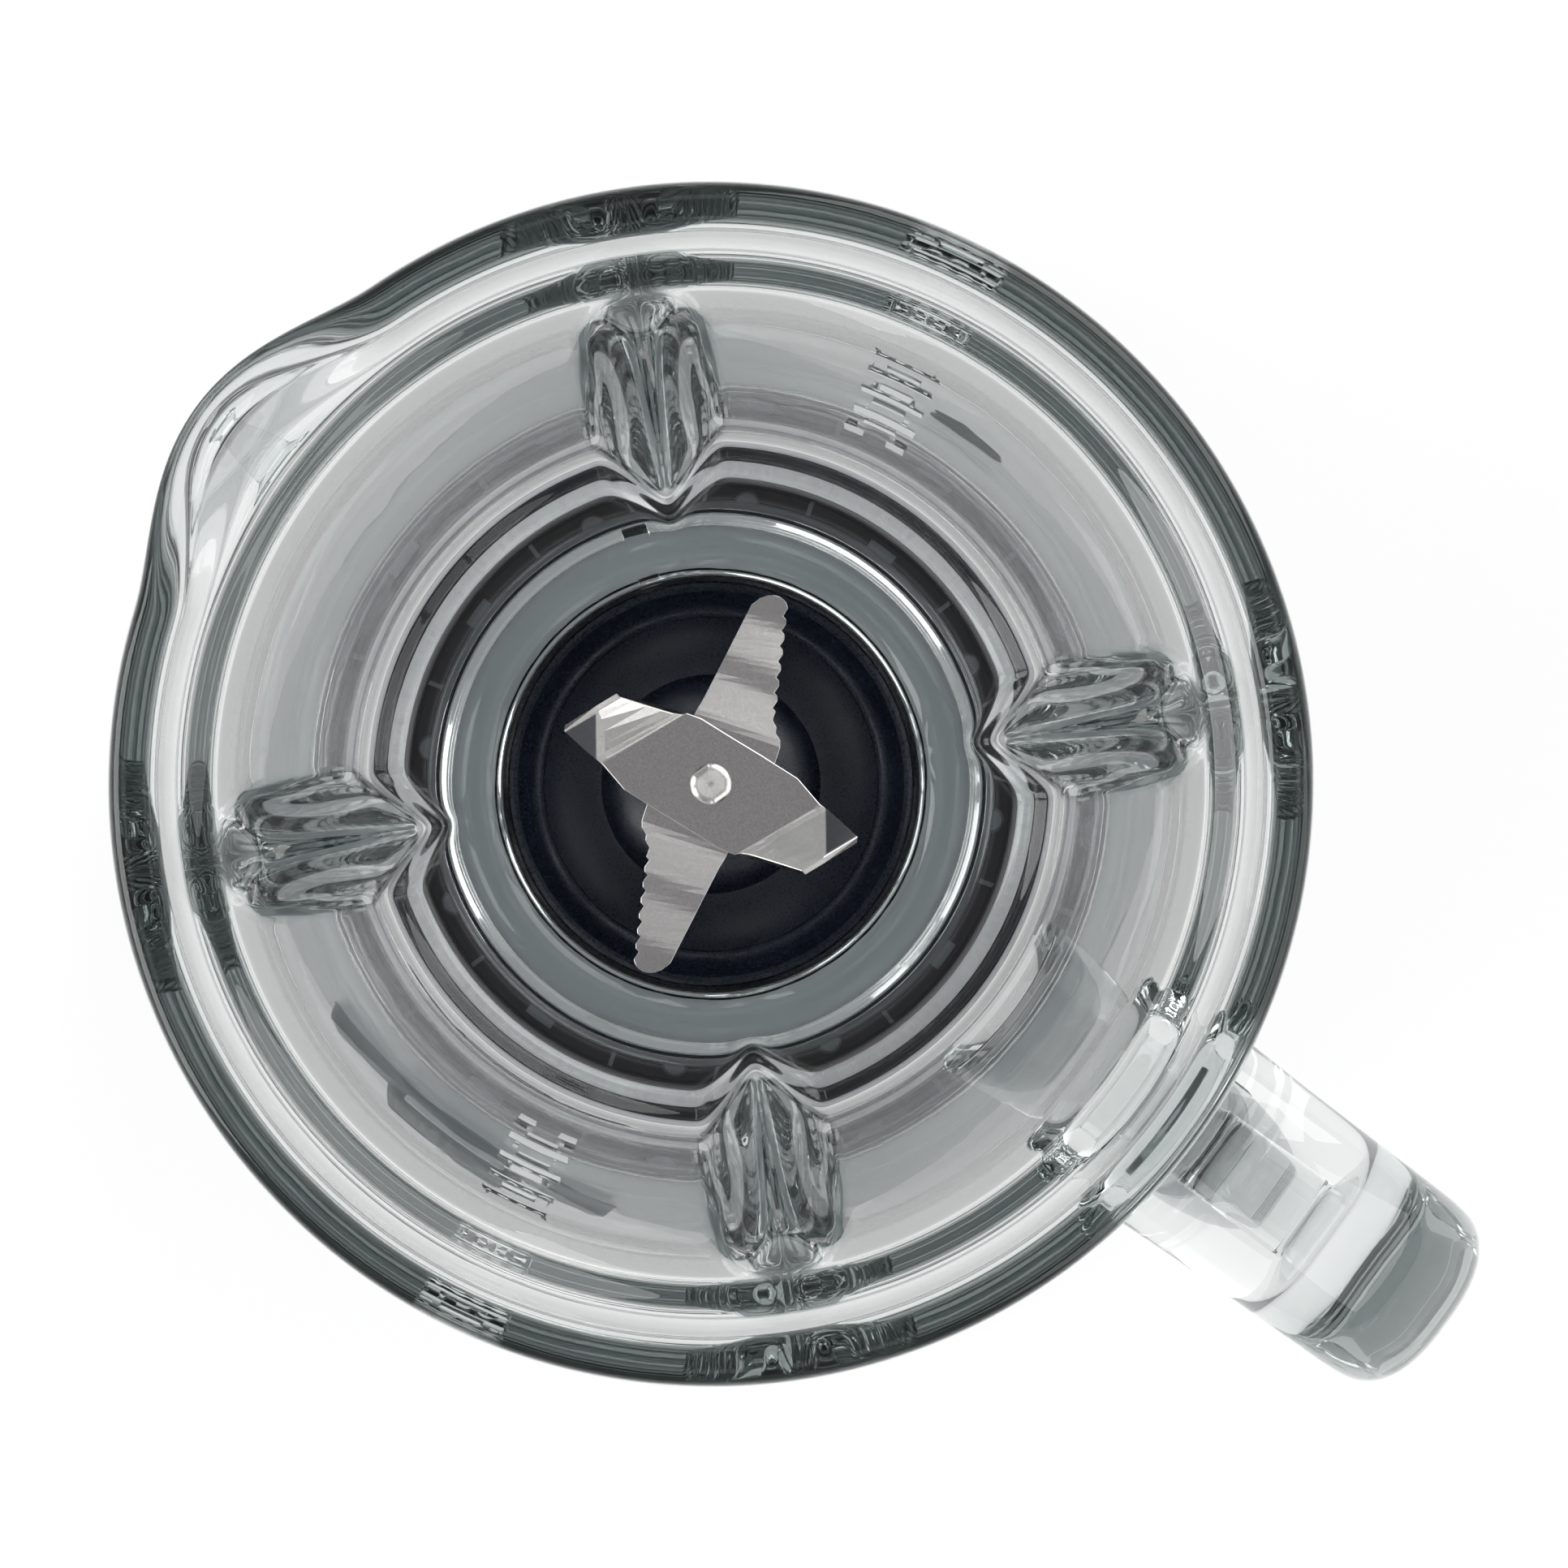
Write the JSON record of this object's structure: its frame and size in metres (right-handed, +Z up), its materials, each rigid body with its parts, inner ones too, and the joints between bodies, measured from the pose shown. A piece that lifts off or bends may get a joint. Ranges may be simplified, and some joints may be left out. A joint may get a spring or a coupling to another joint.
{
  "type": "countertop blender",
  "caption": "Open ribbed glass jug with a moulded handle and spout over a winged blade unit, standing on a motor base with a dial and a pulse button.",
  "frame": {"origin": "centre of the round pad on the base's underside, on the axis of the motor and the jug", "axes": "+Z up along the motor's axis, +X to the jug's handle, -X to the spout, -Y to the front panel with the dial"},
  "size_m": [0.2084, 0.1941, 0.3595],
  "materials": {
    "clear_glass": "clear pressed glass",
    "silver_plastic": "silver paint, satin",
    "black_plastic": "fine satin moulding",
    "navy_plastic": "smooth dark blue-black moulding",
    "rubber": "matt",
    "silicone": "translucent, matt",
    "blade_steel": "satin with ground edges",
    "bright_steel": "turned, bright",
    "lamination_steel": "stacked laminations",
    "copper_wire": "enamelled copper",
    "brass": "plain",
    "carbon": "matt carbon",
    "circuit_board": "green board",
    "cast_aluminium": "as cast"
  },
  "bodies": {
    "base": {"base_housing": "silver_plastic", "jug_seat": "silver_plastic", "bottom_cover": "black_plastic", "foot_rear_right": "rubber", "foot_rear_left": "rubber", "foot_front_left": "rubber", "foot_front_right": "rubber", "cover_screw_rear_right": "bright_steel", "cover_screw_rear_left": "bright_steel", "cover_screw_front_left": "bright_steel", "cover_screw_front_right": "bright_steel", "cord_inlet": "rubber", "control_panel": "black_plastic", "button_spring": "bright_steel", "selector_switch": "black_plastic", "pulse_switch": "black_plastic", "control_board": "circuit_board", "upper_bearing_bracket": "cast_aluminium", "lower_bearing_bracket": "cast_aluminium", "upper_bearing": "bright_steel", "lower_bearing": "bright_steel", "shaft_seal": "rubber", "motor_mount_rear_right": "rubber", "motor_mount_rear_left": "rubber", "motor_mount_front_left": "rubber", "motor_mount_front_right": "rubber", "stator_core": "lamination_steel", "field_coil_rear": "copper_wire", "field_coil_front": "copper_wire", "brush_holder_right": "brass", "brush_holder_left": "brass", "carbon_brush_right": "carbon", "carbon_brush_left": "carbon", "brush_spring_right": "bright_steel", "brush_spring_left": "bright_steel"},
    "rotor": {"motor_shaft": "bright_steel", "armature_core": "lamination_steel", "armature_winding_upper": "copper_wire", "armature_winding_lower": "copper_wire", "commutator": "copper_wire", "cooling_fan": "black_plastic", "drive_coupling": "black_plastic"},
    "dial": {"speed_knob": "black_plastic"},
    "pulse": {"pulse_button": "silver_plastic"},
    "jug": {"glass_jug": "clear_glass", "blade_seat": "navy_plastic", "seat_gasket": "silicone", "spindle_bush": "brass", "lip_seal": "rubber"},
    "neck_collar": {"collar": "black_plastic"},
    "blades": {"blade_spindle": "bright_steel", "spindle_clip": "bright_steel", "blade_nut": "bright_steel", "lower_blade": "blade_steel", "upper_blade": "blade_steel", "driven_coupling": "black_plastic"}
  },
  "joints": [
    {"name": "motor_spin", "type": "hinge", "parent": "base", "child": "rotor", "pos_m": [0, 0, 0.07], "axis": [0, 0, 1], "continuous": true},
    {"name": "dial_turn", "type": "hinge", "parent": "base", "child": "dial", "pos_m": [0, -0.08524, 0.05508], "axis": [0, 0.989, -0.1478], "range_deg": [0, 150]},
    {"name": "pulse_press", "type": "slide", "parent": "base", "child": "pulse", "axis": [0, 0.989, -0.1478], "range_m": [0, 0.0025], "stiffness_N_per_m": 500, "springref_m": -0.003, "deforming": ["button_spring"]},
    {"name": "jug_lift", "type": "slide", "parent": "base", "child": "jug", "axis": [0, 0, 1], "range_m": [0, 0.07]},
    {"name": "collar_turn", "type": "hinge", "parent": "jug", "child": "neck_collar", "pos_m": [0, 0, 0.15], "axis": [0, 0, 1], "range_deg": [0, 60]},
    {"name": "blade_spin", "type": "hinge", "parent": "jug", "child": "blades", "pos_m": [0, 0, 0.178], "axis": [0, 0, 1], "continuous": true}
  ],
  "couplings": [
    {"joint": "blade_spin", "follows": "motor_spin", "ratio": 1}
  ]
}
